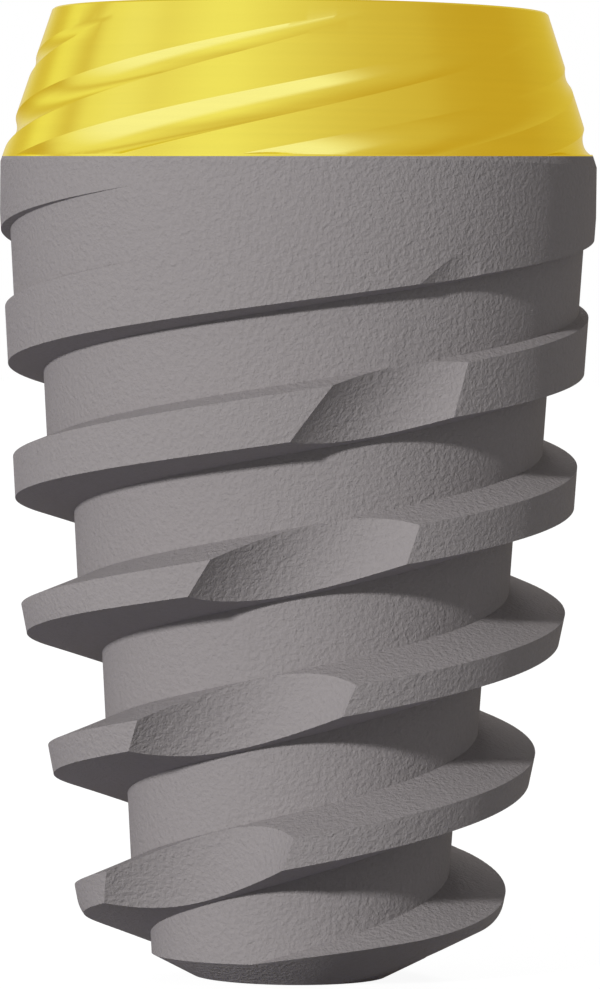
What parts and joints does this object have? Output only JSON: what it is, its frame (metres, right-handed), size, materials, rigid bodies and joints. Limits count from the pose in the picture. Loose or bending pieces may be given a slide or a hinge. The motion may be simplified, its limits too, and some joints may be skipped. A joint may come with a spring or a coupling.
{
  "type": "dental implant",
  "caption": "Tapered threaded titanium bone fixture with cutting flutes, a finely grooved conical neck and an internal conical connection with a hexagonal index.",
  "frame": {"origin": "centre of the flat end of the apex, the lowest point of the implant", "axes": "+Z along the implant axis from the apex to the platform; -Y is the front that the picture shows; +X is to the right of that view"},
  "size_m": [0.005, 0.005, 0.0081],
  "materials": {
    "titanium": "grit-blasted grey titanium; the neck above the collar edge and the inside are polished and anodised gold"
  },
  "bodies": {
    "root": {"implant_fixture": "titanium"}
  },
  "joints": []
}
